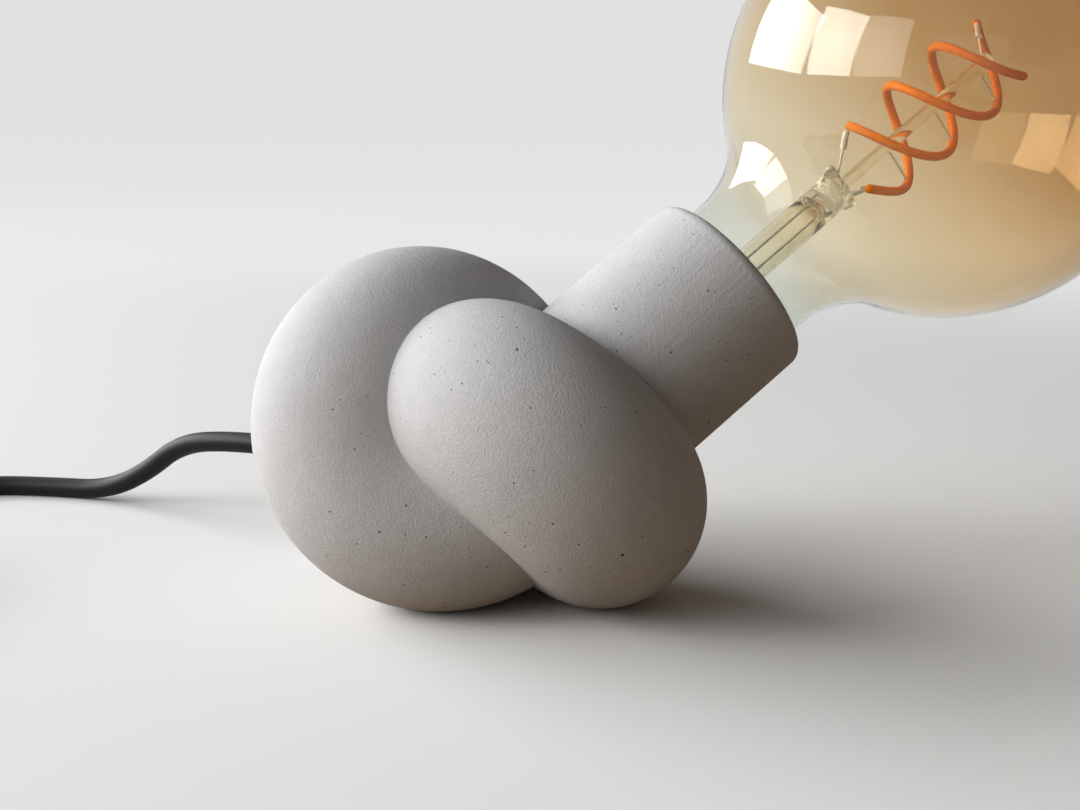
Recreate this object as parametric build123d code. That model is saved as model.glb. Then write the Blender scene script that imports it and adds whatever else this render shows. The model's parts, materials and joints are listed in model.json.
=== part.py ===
from build123d import *
import math
import os

# A table lamp: a concrete tube tied in a fat open knot, a lampholder in its neck, a screw-in globe bulb,
# and a lead with a switch, a coil and a plug. Millimetres, +Z up, table at z = 0, neck leaning towards +X.

# Clearances
seat_gap = 0.15            # pieces that are bonded, screwed or pressed together
slip = 0.25                # pieces that slide into each other

# Concrete body
neck_rise = 37.5           # degrees from the table up to the neck's axis
neck_len = 86.0            # straight neck, from its mouth down to the first bend
neck_wall = 5.0
bulb_gap = 1.2             # between the glass and the neck's bore
bore_depth = 57.0
rim_round = 3.0            # rounding of the neck's outer rim
bends = [                  # radius, turn and roll of each bend, from the neck down to the tail
    (22.5, 134.0, 23.0),   # left loop, lower part
    (22.0, 149.0, 29.0),   # left loop, upper part
    (37.0, 56.0, -92.0),   # behind the neck
    (22.0, 139.0, 30.0),   # round the neck to the front
    (19.5, 121.0, 2.0),    # down through the loop
    (19.0, 15.0, 54.0),    # behind the loop
    (30.0, 82.0, 109.0),   # out to the left
]
tail_len = 17.0            # straight tail after the last bend
foot_cut = 1.2             # ground off the front foot, which levels all three feet

# Lead in the body
cord_r = 3.25
channel_gap = 0.8          # between the lead and its channel in the concrete
channel_past = 1.0         # first corner of the lead's channel, past the end of the straight neck
channel_tail = 32.0        # straight lead before the tail's face
channel_turns = (11.0, 26.0)
relief_r = 7.0             # strain relief in the tail
relief_len = 15.0
relief_seat = 8.0          # depth of its seat in the concrete
relief_collar = 2.0        # its collar's width and thickness
relief_skin = 1.35         # rubber round the lead at its tip

# Lampholder, stacked up from the floor of the bore
holder_gap = 2.5           # between the skirt and the bore
skirt_wall = 2.0
skirt_len = 23.0
skirt_over = 1.5           # skirt's lower edge over the core's top
washer_r = 9.0
washer_thick = 1.2
nut_across = 14.0
nut_thick = 3.2
dome_wall = 2.2
dome_flat_r = 9.0
dome_room = 10.0           # from the dome's underside to the core
core_thick = 6.2
shell_len = 23.0
shell_wall = 0.6
centre_pad_r = 3.0
centre_pad_h = 1.7
contact_play = 0.3         # between the holder's and the bulb's centre contacts
strip_w = 4.0              # contact strips
strip_t = 0.8
side_strip_h = 10.0
nipple_r = 5.0
nipple_play = 0.35         # between the lead and the nipple's bore
nipple_above = 4.0         # nipple over the dome's underside
nipple_in = 8.0            # nipple in the cast-in insert
insert_r = 8.0
insert_len = 15.0
lead_strip = 1.6           # sheath over the nipple
wire_r = 0.9               # insulated conductor
wire_spread = 7.5          # terminals from the axis
terminal_r = 1.6
terminal_len = 4.5
terminal_head_r = 2.4
terminal_head = 1.8
grub_r = 1.5
grub_len = 4.0

# Screw thread of cap and holder
thread_r = 13.4            # inside of the holder's shell, at the root of its thread
thread_pitch = 3.629
thread_depth = 1.05
thread_gap = 0.3           # radial clearance between cap and holder
thread_base = 2.2
thread_crest = 0.8
thread_turns = 3.5
thread_sink = 0.2          # ridge inside its shell
thread_up = 1.5            # first turn over the end of the cap's shell

# Bulb, measured from the plane where its glass neck starts to narrow towards the cap
globe_r = 62.5
globe_up = 82.0            # centre of the globe
glass_wall = 0.9
glass_neck_r = 21.3
glass_neck_up = 6.0        # top of the straight glass neck
shoulder_r = 9.0
shoulder_turn = 75.0       # degrees that the shoulder turns in
cap_drop = 9.6             # from that plane down to the cap
cap_wall = 0.5
cap_collar = 3.0
cap_thread_len = 16.9
insulator_h = 3.7
contact_r = 5.5
contact_t = 1.3
stem_r = 5.2
stem_wall = 0.9
stem_top = 35.4
stem_flare = 9.0
press_top = 42.4
press_w = 14.0
press_t = 4.2
rod_r = 1.8
rod_top = 99.0
helix_r = 12.4             # the filament's two strands
helix_pitch = 35.6
helix_from = 55.6
helix_turns = 1.35
helix_start = 270.0        # degrees about the axis where the first strand starts
helix_lead = 80.0          # degrees that the first strand starts earlier, nearer to the axis
helix_lead_r = 9.0
helix_lean = 31.0          # degrees that the turns lean
helix_high_side = -25.0    # degrees about the axis of the side where the turns are highest
filament_r = 1.25
clip_r = 0.9
clip_len = 5.0
lead_wire_r = 0.35
stem_wire_out = 2.2        # wires in the stem from the axis
press_wire_out = 3.6       # wires at the press from the axis
support_r = 0.35
support_count = 3
board_t = 1.2
board_l = 15.0

# In-line switch
switch_l = 62.0
switch_w = 25.0
switch_h = 17.0
switch_wall = 2.0
switch_round = 6.0
switch_split = 8.5         # height of the lead's axis and of the joint between base and cover
rocker_l = 20.0
rocker_w = 11.0
rocker_gap = 0.4
rocker_tilt = 8.0          # degrees each side of level
rocker_sunk = 3.0          # pivot under the cover's top
rocker_belly = 3.0
rocker_dip = 3.2           # middle of the rocker's top over the pivot
rocker_ear = 5.4           # ends of the rocker's top over the pivot
rocker_pin_r = 1.4
lug_t = 2.5                # lugs that carry the pin
lug_l = 7.0
lug_under = 2.5            # lug below the pin's axis
switch_screw_r = 1.5
switch_screw_len = 10.0
switch_head_r = 2.7
switch_head = 1.6
switch_sink = 2.0          # depth of the heads' recess
switch_screw_x = 22.5      # screws from the middle of the switch
contact_x = 7.0            # contacts from the middle of the switch
contact_l = 10.0
contact_h = 5.0
cord_grip = 4.0            # lead inside the switch's end walls

# Coil
coil_turns = 3             # turns in each of the two layers
coil_in_r = 24.0
turn_gap = 0.8             # between neighbouring turns
tie_t = 0.8                # straps round the coil
tie_w = 9.0
tie_round = 3.0
tie_slack = 0.8            # beside the turns, which curve inside the strap's width

# Plug
plug_l = 36.0
plug_w = 35.0
plug_t = 13.7
plug_rear_w = 15.0
plug_front = 10.0          # straight sides behind the front face
plug_round = 3.0
pin_r = 2.0
pin_len = 19.0
pin_apart = 18.6
pin_sunk = 8.0             # shank of each pin inside the plug
pin_shank_r = 1.5
pin_tip_round = 1.0
plug_relief_len = 14.0
plug_relief_r = 5.4

# Places on the table
switch_x = -208.0
switch_y = 64.0
coil_y = -15.0
plug_shift = -8.0          # plug from the end of the coil
plug_y = 44.0
relief_run = 18.0          # straight runs of the lead's routes next to each piece on it
switch_run = 23.0
coil_run = 13.0
plug_run = 22.0

# Sizes that follow
bore_r = glass_neck_r + bulb_gap
tube_r = bore_r + neck_wall
skirt_r = bore_r - holder_gap
dome_low = washer_thick + nut_thick - bore_depth
core_low = dome_low + dome_room
core_high = core_low + core_thick
skirt_low = core_high + skirt_over
lead_high = dome_low + nipple_above + lead_strip
nipple_bore = cord_r + nipple_play
cap_r = thread_r - thread_gap - thread_depth
cap_seat_r = thread_r - cap_wall - slip
cap_low = -cap_drop - cap_collar - cap_thread_len
contact_low = cap_low - insulator_h - contact_t
bulb_place = core_high + centre_pad_h + contact_play - contact_low
rocker_pivot = switch_h - rocker_sunk
coil_step = 2 * cord_r + turn_gap
coil_half = coil_turns + 0.25
coil_low = tie_t + seat_gap + cord_r
standing = (Align.CENTER, Align.CENTER, Align.MIN)


def unit(v):
    return v / v.length


def turned(v, about, degrees):
    return v.rotate(Axis((0, 0, 0), about), degrees)


class Bend:
    """One bend of the tube: where it starts, how it turns and where it ends."""

    def __init__(self, start, heading, normal, radius, turn, roll):
        self.heading = heading
        self.radius = radius
        self.turn = turn
        self.normal = turned(normal, heading, roll)
        self.centre = start + self.normal * radius
        self.axis = heading.cross(self.normal)
        self.end = self.at(turn)
        self.end_heading = turned(heading, self.axis, turn)
        self.end_normal = turned(self.normal, self.axis, turn)

    def at(self, degrees):
        return self.centre + turned(self.normal * -self.radius, self.axis, degrees)

    def low_turn(self):
        """Degrees round the circle that the centreline lies on, from the bend's start to its lowest point."""
        return math.degrees(math.atan2(-self.heading.Z, self.normal.Z))

    def solid(self):
        """The bent tube, cut off at the axis that it turns about."""
        section_plane = Plane(self.centre, x_dir=self.normal * -1, z_dir=self.heading)
        disc = Pos(self.radius, 0) * Circle(tube_r)
        outer_side = Rectangle(4 * tube_r, 4 * tube_r, align=(Align.MIN, Align.CENTER))
        return revolve(section_plane * (disc & outer_side), Axis(self.centre, self.axis), self.turn)


def bend_chain():
    """Mouth, neck axis and bends, placed so that the front foot's ground face is centred on the origin."""
    lean = math.radians(neck_rise)
    outward = Vector(math.cos(lean), 0, math.sin(lean))
    upright = Vector(-math.sin(lean), 0, math.cos(lean))

    def walk(mouth):
        chain = []
        place, heading, normal = mouth - outward * neck_len, outward * -1, upright
        for radius, turn, roll in bends:
            bend = Bend(place, heading, normal, radius, turn, roll)
            chain.append(bend)
            place, heading, normal = bend.end, bend.end_heading, bend.end_normal
        return chain

    low_bends = [bend for bend in walk(Vector(0, 0, 0)) if 0 < bend.low_turn() < bend.turn]
    foot = max((bend.at(bend.low_turn()) for bend in low_bends), key=lambda point: point.X)
    mouth = Vector(0, 0, tube_r - foot_cut) - foot
    return mouth, outward, walk(mouth)


mouth, neck_axis, chain = bend_chain()
neck = Plane(mouth, x_dir=(0, 1, 0), z_dir=neck_axis)
tail_heading = chain[-1].end_heading
tail_face = chain[-1].end + tail_heading * tail_len
tail = Plane(tail_face, x_dir=tail_heading.cross(Vector(0, 0, 1)), z_dir=tail_heading)


def on_neck(shape):
    """Places a shape that was made along Z, with the neck's mouth at z = 0."""
    return neck.location * shape


def on_bulb(shape):
    """Places a shape that was made along Z, with the bulb's own plane at z = 0."""
    return neck.location * Pos(0, 0, bulb_place) * shape


def group(shapes):
    return Compound(children=list(shapes))


def rod(radius, low, high):
    """A round bar along Z between two heights."""
    return Pos(0, 0, low) * Cylinder(radius, high - low, align=standing)


def pipe(outer, inner, low, high):
    return rod(outer, low, high) - rod(inner, low - 1, high + 1)


def turned_shape(*outline):
    """A body of revolution about Z from (radius, height) corners."""
    return revolve(make_face(Polyline(*[(r, 0, z) for r, z in outline], close=True)), Axis.Z)


def bar(start, end, radius):
    """A round bar between two points."""
    along = Plane(start, z_dir=unit(end - start))
    return along.location * rod(radius, 0, (end - start).length)


def tube_on(path, radius):
    """A round section swept along a path."""
    return sweep(Plane(path @ 0, z_dir=path % 0) * Circle(radius), path)


def biarc(start, start_dir, end, end_dir):
    """Two arcs that leave start and reach end in the given directions."""
    gap = end - start
    spread = 2 * (1 - start_dir.dot(end_dir))
    reach = gap.dot(start_dir + end_dir)
    if spread < 1e-9:
        arm = gap.dot(gap) / (2 * reach)
    else:
        arm = (math.sqrt(reach ** 2 + spread * gap.dot(gap)) - reach) / spread
    middle = (start + end + (start_dir - end_dir) * arm) / 2
    first = TangentArc(start, middle, tangent=start_dir)
    return [first, TangentArc(middle, end, tangent=first % 1)]


def biarc_path(stations):
    """Arcs through a list of (point, direction)."""
    arcs = []
    for (a, a_dir), (b, b_dir) in zip(stations, stations[1:]):
        arcs += biarc(a, a_dir, b, b_dir)
    return arcs


# Concrete body and the lead in it

bore_floor = mouth - neck_axis * bore_depth
relief_tip = tail_face + tail_heading * relief_len


def channel(start, end, radius):
    """A round run through the heart of the knot, from the neck's axis to the tail's axis."""
    first = mouth - neck_axis * (neck_len + channel_past)
    second = tail_face - tail_heading * channel_tail
    return tube_on(FilletPolyline(start, first, second, end, radius=list(channel_turns)), radius)


def concrete_body():
    body = on_neck(rod(tube_r, -neck_len, 0))
    rim = body.edges().filter_by(GeomType.CIRCLE).sort_by(Axis(mouth, neck_axis))[-1]
    body = fillet(rim, rim_round)
    for bend in chain:
        body = body + bend.solid()
    body = body + tail.location * rod(tube_r, -tail_len, 0)
    body = body - Pos(0, 0, -tube_r) * Box(8 * neck_len, 8 * neck_len, 2 * tube_r)
    body = body - on_neck(rod(bore_r, -bore_depth, 1))
    body = body - on_neck(rod(insert_r + seat_gap, -bore_depth - insert_len, 1 - bore_depth))
    body = body - channel(bore_floor, tail_face + tail_heading, cord_r + channel_gap)
    body = body - tail.location * rod(relief_r + seat_gap, -relief_seat, 1)
    return body


def strain_relief():
    inside = cord_r + seat_gap
    outline = (
        (inside, -relief_seat + seat_gap),
        (relief_r, -relief_seat + seat_gap),
        (relief_r, 0),
        (relief_r + relief_collar, 0),
        (relief_r + relief_collar, relief_collar),
        (relief_r, relief_collar),
        (cord_r + relief_skin, relief_len),
        (inside, relief_len),
    )
    return tail.location * turned_shape(*outline)


def inner_lead():
    return channel(mouth + neck_axis * lead_high, relief_tip, cord_r)


# Lampholder

def holder_skirt():
    wide = pipe(skirt_r, skirt_r - skirt_wall, skirt_low, skirt_low + skirt_len)
    lip_inside = thread_r + shell_wall + slip
    lip = pipe(skirt_r, lip_inside, skirt_low + skirt_len - skirt_wall, skirt_low + skirt_len)
    return on_neck(wide + lip)


def holder_dome():
    hole = nipple_r + slip
    inside = skirt_r - dome_wall
    outline = (
        (hole, dome_low),
        (dome_flat_r, dome_low),
        (skirt_r, core_low - dome_wall),
        (skirt_r, skirt_low),
        (inside, skirt_low),
        (inside, core_low),
        (dome_flat_r - dome_wall / 2, dome_low + dome_wall),
        (hole, dome_low + dome_wall),
    )
    return on_neck(turned_shape(*outline) - across_dome(rod(grub_r + seat_gap, 0, 2 * skirt_r)))


def across_dome(shape):
    """Turns a shape made along Z to point out of the dome's side, level with the core."""
    return Pos(0, 0, (core_low + core_high) / 2) * Rot(0, 90, 0) * shape


def holder_grub_screw():
    """Locks the core in the dome from the side."""
    screw = rod(grub_r, skirt_r - grub_len, skirt_r)
    slot = Pos(0, 0, skirt_r) * Box(3 * grub_r, grub_r / 3, grub_r)
    return on_neck(across_dome(screw - slot))


def holder_core():
    disc = rod(skirt_r - dome_wall - slip, core_low + seat_gap, core_high)
    hole = rod(terminal_r + seat_gap, core_low, core_low + terminal_len + 1)
    disc = disc - [Pos(0, side * wire_spread, 0) * hole for side in (-1, 1)]
    disc = disc - across_dome(rod(grub_r + seat_gap, skirt_r - grub_len - 1, 2 * skirt_r))
    return on_neck(disc)


def terminal_screws():
    shank = rod(terminal_r, core_low, core_low + terminal_len)
    head = rod(terminal_head_r, core_low - terminal_head, core_low)
    slot = Pos(0, 0, core_low - terminal_head) * Box(3 * terminal_head_r, terminal_r / 3, terminal_head)
    return group(on_neck(Pos(0, side * wire_spread, 0) * (shank + head - slot)) for side in (-1, 1))


def conductors():
    """The lead's two wires, from the end of its sheath up to the terminal screws."""
    wires = []
    for side in (-1, 1):
        start = Vector(0, side * (wire_r + seat_gap), lead_high + wire_r)
        end = Vector(0, side * (wire_spread - terminal_head_r - wire_r), core_low - wire_r)
        wires.append(on_neck(bar(start, end, wire_r)))
    return group(wires)


def thread_ridge(root, crest, low, turns):
    """A helical ridge about Z that grows from a root radius to a crest radius."""
    sink = math.copysign(thread_sink, crest - root)
    corners = (
        (root - sink, 0, -thread_base / 2),
        (crest, 0, -thread_crest / 2),
        (crest, 0, thread_crest / 2),
        (root - sink, 0, thread_base / 2),
    )
    section = make_face(Polyline(*corners, close=True))
    path = Helix(thread_pitch, thread_pitch * turns, root)
    return Pos(0, 0, low) * sweep(section, path, is_frenet=True)


def holder_screw_shell():
    """The shell's ridge runs half a pitch below the cap's."""
    shell = pipe(thread_r + shell_wall, thread_r, core_high, core_high + shell_len)
    low = bulb_place + cap_low + thread_up - thread_pitch / 2
    return on_neck(shell + thread_ridge(thread_r, thread_r - thread_depth, low, thread_turns))


def holder_centre_contact():
    pad = rod(centre_pad_r, core_high, core_high + centre_pad_h)
    plate = Pos(0, 0, core_high) * Box(strip_w, 4 * centre_pad_r, strip_t, align=standing)
    return on_neck(pad + plate)


def holder_side_contact():
    """A strip that stands on the core and lies against the screw shell."""
    inside = thread_r + shell_wall + seat_gap
    at_shell = Pos(inside + strip_t / 2, 0, core_high)
    return on_neck(at_shell * Box(strip_t, strip_w, side_strip_h, align=standing))


def holder_nipple():
    return on_neck(pipe(nipple_r, nipple_bore, -bore_depth - nipple_in, dome_low + nipple_above))


def lock_nut():
    hexagon = RegularPolygon(nut_across / 2, 6, major_radius=False)
    nut = Pos(0, 0, dome_low - nut_thick) * extrude(hexagon, nut_thick)
    return on_neck(nut - rod(nipple_r + slip, -bore_depth, 0))


def lock_washer():
    return on_neck(pipe(washer_r, nipple_r + slip, -bore_depth, washer_thick - bore_depth))


def threaded_insert():
    bush = pipe(insert_r, nipple_bore, seat_gap - bore_depth - insert_len, -bore_depth)
    return on_neck(bush - rod(nipple_r + slip, -bore_depth - nipple_in, 0))


# Bulb

flare_up = globe_up - glass_neck_up
flare_r = (glass_neck_r ** 2 + flare_up ** 2 - globe_r ** 2) / (2 * (globe_r - glass_neck_r))
flare_centre = Vector(glass_neck_r + flare_r, 0, glass_neck_up)
globe_centre = Vector(0, 0, globe_up)
glass_end = cap_drop + cap_collar - cap_wall - seat_gap


def glass_volume(inset, end):
    """The glass envelope as a full body of revolution, its surface moved in by an inset."""
    meet = globe_centre + unit(flare_centre - globe_centre) * (globe_r - inset)
    neck_top = Vector(glass_neck_r - inset, 0, glass_neck_up)
    neck_low = Vector(glass_neck_r - inset, 0, 0)
    flare_side = unit(unit(meet - flare_centre) + unit(neck_top - flare_centre))
    turn = math.radians(shoulder_turn)
    shoulder = Vector(glass_neck_r - shoulder_r, 0, 0)
    shoulder_side = shoulder + Vector(math.cos(turn / 2), 0, -math.sin(turn / 2)) * (shoulder_r - inset)
    shoulder_end = shoulder + Vector(math.cos(turn), 0, -math.sin(turn)) * (shoulder_r - inset)
    top = globe_centre + Vector(0, 0, globe_r - inset)
    seat = Vector(cap_seat_r - inset, 0, seat_gap - cap_drop)
    outline = [
        ThreePointArc(top, globe_centre + Vector(globe_r - inset, 0, 0), meet),
        ThreePointArc(meet, flare_centre + flare_side * (flare_r + inset), neck_top),
        Line(neck_top, neck_low),
        ThreePointArc(neck_low, shoulder_side, shoulder_end),
        Polyline(shoulder_end, seat, Vector(cap_seat_r - inset, 0, -end), Vector(0, 0, -end), top),
    ]
    return revolve(make_face(Curve() + outline), Axis.Z)


def bulb_globe():
    return on_bulb(glass_volume(0, glass_end) - glass_volume(glass_wall, glass_end + 1))


def bulb_stem():
    """A flared glass tube, pinched flat at its top."""
    flare = cap_seat_r - glass_wall - slip
    outline = (
        (flare, -glass_end),
        (stem_r, stem_flare - glass_end),
        (stem_r, stem_top),
        (0, stem_top),
        (0, stem_top - stem_wall),
        (stem_r - stem_wall, stem_top - stem_wall),
        (stem_r - stem_wall, stem_flare - glass_end),
        (flare - stem_wall, -glass_end),
    )
    round_end = Pos(0, 0, stem_top) * Circle(stem_r)
    flat_end = Pos(0, 0, press_top) * Ellipse(press_t / 2, press_w / 2)
    return on_bulb(turned_shape(*outline) + loft([round_end, flat_end]))


def helix_station(turns, offset, radius=helix_r):
    """Point and direction on one strand of the filament, a number of turns above its start."""
    angle = math.radians(helix_start + offset + 360 * turns)
    from_high = angle - math.radians(helix_high_side)
    lean = math.tan(math.radians(helix_lean))
    height = helix_from + helix_pitch * turns + radius * lean * math.cos(from_high)
    climb = helix_pitch / (2 * math.pi * radius) - lean * math.sin(from_high)
    point = Vector(radius * math.cos(angle), radius * math.sin(angle), height)
    return point, unit(Vector(-math.sin(angle), math.cos(angle), climb))


def filament_strands():
    """Stations up the two strands. The first one starts lower, nearer to the axis."""
    steps = math.ceil(4 * helix_turns)
    share = helix_turns / steps
    first, second = [[helix_station(share * i, offset) for i in range(steps + 1)] for offset in (0, 180)]
    return [helix_station(-helix_lead / 360, 0, helix_lead_r)] + first, second


def led_filament():
    return group(on_bulb(tube_on(Wire(biarc_path(strand)), filament_r)) for strand in filament_strands())


def clip_runs():
    """Both ends of the clip at each end of a strand, and the place on press or rod where its wire goes."""
    runs = []
    for side, strand in zip((-1, 1), filament_strands()):
        low, high = strand[0][0], strand[-1][0]
        press = Vector(0, side * press_wire_out, press_top + lead_wire_r)
        beside = unit(Vector(high.X, high.Y, 0)) * (rod_r + lead_wire_r)
        for point, place in ((low, press), (high, beside + Vector(0, 0, rod_top - lead_wire_r))):
            away = unit(place - point)
            near = point + away * (filament_r + 2 * seat_gap)
            runs.append((near, near + away * clip_len, place))
    return runs


def filament_end_clips():
    return group(on_bulb(bar(near, far, clip_r)) for near, far, place in clip_runs())


def lead_wires():
    """Two wires up the stem, and on from the press and the rod to the filament's clips."""
    wires = [on_bulb(bar(place, far, lead_wire_r)) for near, far, place in clip_runs()]
    for side in (-1, 1):
        low = Vector(0, side * stem_wire_out, -glass_end)
        high = Vector(0, side * stem_wire_out, stem_top - stem_wall - seat_gap)
        wires.append(on_bulb(bar(low, high, lead_wire_r)))
    return group(wires)


def bulb_centre_rod():
    return on_bulb(rod(rod_r, press_top, rod_top))


def filament_supports():
    """Wires from the centre rod out to the strands, one each half turn."""
    wires = []
    for i in range(support_count):
        point = helix_station(i / 2, 180 * i)[0]
        out = unit(Vector(point.X, point.Y, 0))
        hook = point - out * (filament_r + seat_gap)
        wires.append(on_bulb(bar(out * rod_r + Vector(0, 0, point.Z), hook, support_r)))
    return group(wires)


def bulb_cap_shell():
    thread_top = cap_low + cap_thread_len
    shell = pipe(cap_r, cap_r - cap_wall, cap_low, thread_top)
    shell = shell + pipe(thread_r, cap_r - cap_wall, thread_top, thread_top + cap_wall)
    shell = shell + pipe(thread_r, thread_r - cap_wall, thread_top, thread_top + cap_collar)
    shell = shell + pipe(cap_r, contact_r + insulator_h, cap_low, cap_low + cap_wall)
    return on_bulb(shell + thread_ridge(cap_r, cap_r + thread_depth, cap_low + thread_up, thread_turns))


def bulb_cap_insulator():
    outline = (
        (0, cap_low - seat_gap),
        (cap_r - cap_wall, cap_low - seat_gap),
        (contact_r + cap_wall, cap_low - insulator_h),
        (0, cap_low - insulator_h),
    )
    return on_bulb(turned_shape(*outline))


def bulb_centre_contact():
    return on_bulb(rod(contact_r, contact_low, contact_low + contact_t))


def bulb_driver_board():
    board = Box(board_t, 2 * (cap_r - cap_wall - slip), board_l, align=standing)
    return on_bulb(Pos(0, 0, cap_low + cap_wall + seat_gap) * board)


# Free lead

switch_top = Vector(switch_x, switch_y + switch_l / 2 - cord_grip, switch_split)
switch_foot = Vector(switch_x, switch_y - switch_l / 2 + cord_grip, switch_split)
coil_out_r = coil_in_r + coil_step * coil_half
coil_centre = Vector(switch_x - coil_out_r, coil_y, coil_low)
coil_start = Vector(switch_x, coil_y + 2 * cord_r, coil_low)
coil_end = Vector(switch_x - 2 * coil_out_r, coil_y + 2 * cord_r, coil_low + coil_step)
plug_rear = Vector(coil_end.X + plug_shift, plug_y + plug_relief_len, plug_t / 2)

lead_to_switch = [
    relief_tip,
    relief_tip + tail_heading * relief_run,
    Vector(-82.0, 104.5, 26.6),
    Vector(-95.8, 120.4, 23.4),
    Vector(-107.3, 132.8, 11.0),
    Vector(-119.3, 144.3, 3.8),
    Vector(-135.3, 156.2, cord_r),
    Vector(-157.0, 166.8, cord_r),
    Vector(-187.0, 164.0, cord_r),
    Vector(-205.0, 142.0, cord_r),
    switch_top + Vector(0, switch_run, 0),
    switch_top,
]
switch_to_coil = [
    switch_foot,
    switch_foot - Vector(0, coil_run, 0),
    coil_start + Vector(0, coil_run, 0),
    coil_start,
]
coil_to_plug = [
    coil_end,
    coil_end + Vector(0, coil_run, 0),
    plug_rear - Vector(0, plug_run, 0),
    plug_rear,
]


def corner_radii(points):
    """The largest arc that fits each corner of a route."""
    radii = []
    for a, b, c in zip(points, points[1:], points[2:]):
        shorter = min((b - a).length, (c - b).length)
        half_turn = math.radians((b - a).get_angle(c - b) / 2)
        radii.append(0.45 * shorter / math.tan(half_turn))
    return radii


def cord(name, points):
    """A cord's tube along a route of straight runs joined by arcs."""
    radii = corner_radii(points)
    path = FilletPolyline(*points, radius=radii)
    tube = tube_on(path, cord_r)
    share = tube.volume / (math.pi * cord_r ** 2 * path.length)
    print(name, "length", round(path.length, 1), "volume share", round(share, 4))
    print(name, "radii", [round(r) for r in radii])
    return tube


def cord_to_switch():
    return cord("cord_to_switch", lead_to_switch)


def cord_to_coil():
    return cord("cord_to_coil", switch_to_coil)


def cord_to_plug():
    return cord("cord_to_plug", coil_to_plug)


def coil_station(angle):
    """Point and direction on the coil, clockwise from its start, at an angle in radians."""
    middle = 2 * math.pi * coil_half
    rate = coil_step / (2 * math.pi)
    radius = coil_in_r + rate * abs(angle - middle)
    climb = min(max((angle - middle) / math.pi + 0.5, 0), 1)
    height = coil_step * climb * climb * (3 - 2 * climb)
    slope = coil_step * 6 * climb * (1 - climb) / math.pi
    spread = 0 if abs(angle - middle) < 1e-6 else math.copysign(rate, angle - middle)
    out = Vector(math.cos(angle), -math.sin(angle), 0)
    around = Vector(-math.sin(angle), -math.cos(angle), 0)
    point = coil_centre + out * radius + Vector(0, 0, height)
    return point, unit(around * radius + out * spread + Vector(0, 0, slope))


def lead_coil():
    """Two layers of turns that spiral in, climb and spiral out again."""
    quarters = 8 * coil_turns + 2
    stations = [coil_station(i * math.pi / 2) for i in range(quarters + 1)]
    stations[0] = (stations[0][0], Vector(0, -1, 0))
    stations[-1] = (stations[-1][0], Vector(0, 1, 0))
    arcs = biarc_path(stations)
    path = Wire([Line(coil_start, stations[0][0])] + arcs + [Line(stations[-1][0], coil_end)])
    steps = round(path.length / cord_r)
    points = [path @ (i / steps) for i in range(steps + 1)]
    along = 8
    gap = min((p - q).length for i, p in enumerate(points) for q in points[i + along:]) - 2 * cord_r
    print("lead_coil length", round(path.length, 1), "least gap", round(gap, 2))
    return tube_on(path, cord_r)


def coil_ties():
    """Straps round all the turns, on the side where the layers change and on the other side."""
    straps = []
    for side, near, far in ((-1, 0, coil_turns), (1, 0.5, coil_turns - 0.5)):
        wide = coil_step * (far - near) + 2 * (cord_r + tie_slack)
        high = coil_step + 2 * (cord_r + seat_gap)
        hole = RectangleRounded(wide, high, tie_round)
        edge = RectangleRounded(wide + 2 * tie_t, high + 2 * tie_t, tie_round + tie_t)
        strap = extrude(edge - hole, tie_w / 2, both=True)
        out = side * (coil_in_r + coil_step * (near + far) / 2)
        middle = coil_centre + Vector(0, out, coil_step / 2)
        straps.append(Plane(middle, x_dir=(0, 1, 0), z_dir=(1, 0, 0)).location * strap)
    return group(straps)


# In-line switch, made along X and laid along the lead

switch_place = Pos(switch_x, switch_y, 0) * Rot(0, 0, -90)


def slab(low, high, inset=0):
    """A slice of the switch's rounded block between two heights."""
    outline = RectangleRounded(switch_l - 2 * inset, switch_w - 2 * inset, switch_round - inset)
    return Pos(0, 0, low) * extrude(outline, high - low)


def at_screws(shape):
    return [Pos(side * switch_screw_x, 0, 0) * shape for side in (-1, 1)]


def lead_holes():
    """The lead's way in at both ends of the switch."""
    hole = Rot(0, 90, 0) * rod(cord_r + seat_gap, switch_l / 2 - cord_grip, switch_l)
    return [Pos(0, 0, switch_split) * Rot(0, 0, side) * hole for side in (0, 180)]


def switch_base():
    shell = slab(0, switch_split) - slab(switch_wall, switch_split + 1, switch_wall)
    shell = shell + at_screws(rod(switch_head_r + switch_wall / 2, switch_wall / 2, switch_split))
    shell = shell - lead_holes()
    recess = rod(switch_head_r + seat_gap, -1, switch_sink)
    shell = shell - at_screws(rod(switch_screw_r + seat_gap, -1, switch_h) + recess)
    return switch_place * shell


def switch_cover():
    shell = slab(switch_split, switch_h) - slab(switch_split - 1, switch_h - switch_wall, switch_wall)
    shell = fillet(shell.edges().group_by(Axis.Z)[-1], switch_wall / 2)
    under_top = switch_h - switch_wall / 2
    lug = Box(lug_l, lug_t, under_top - rocker_pivot + lug_under, align=standing)
    lug_y = rocker_w / 2 + rocker_gap + lug_t / 2
    shell = shell + [Pos(0, side * lug_y, rocker_pivot - lug_under) * lug for side in (-1, 1)]
    shell = shell + at_screws(rod(switch_head_r + switch_wall / 2, switch_split, under_top))
    window = Box(rocker_l + 2 * rocker_gap, rocker_w + 2 * rocker_gap, 4 * switch_wall)
    pin_hole = Rot(90, 0, 0) * Cylinder(rocker_pin_r + slip, rocker_w + 2 * rocker_gap + 2 * lug_t)
    shell = shell - lead_holes() - Pos(0, 0, switch_h) * window - Pos(0, 0, rocker_pivot) * pin_hole
    shell = shell - at_screws(rod(switch_screw_r + seat_gap, 0, switch_sink + switch_screw_len + 1))
    return switch_place * shell


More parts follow.
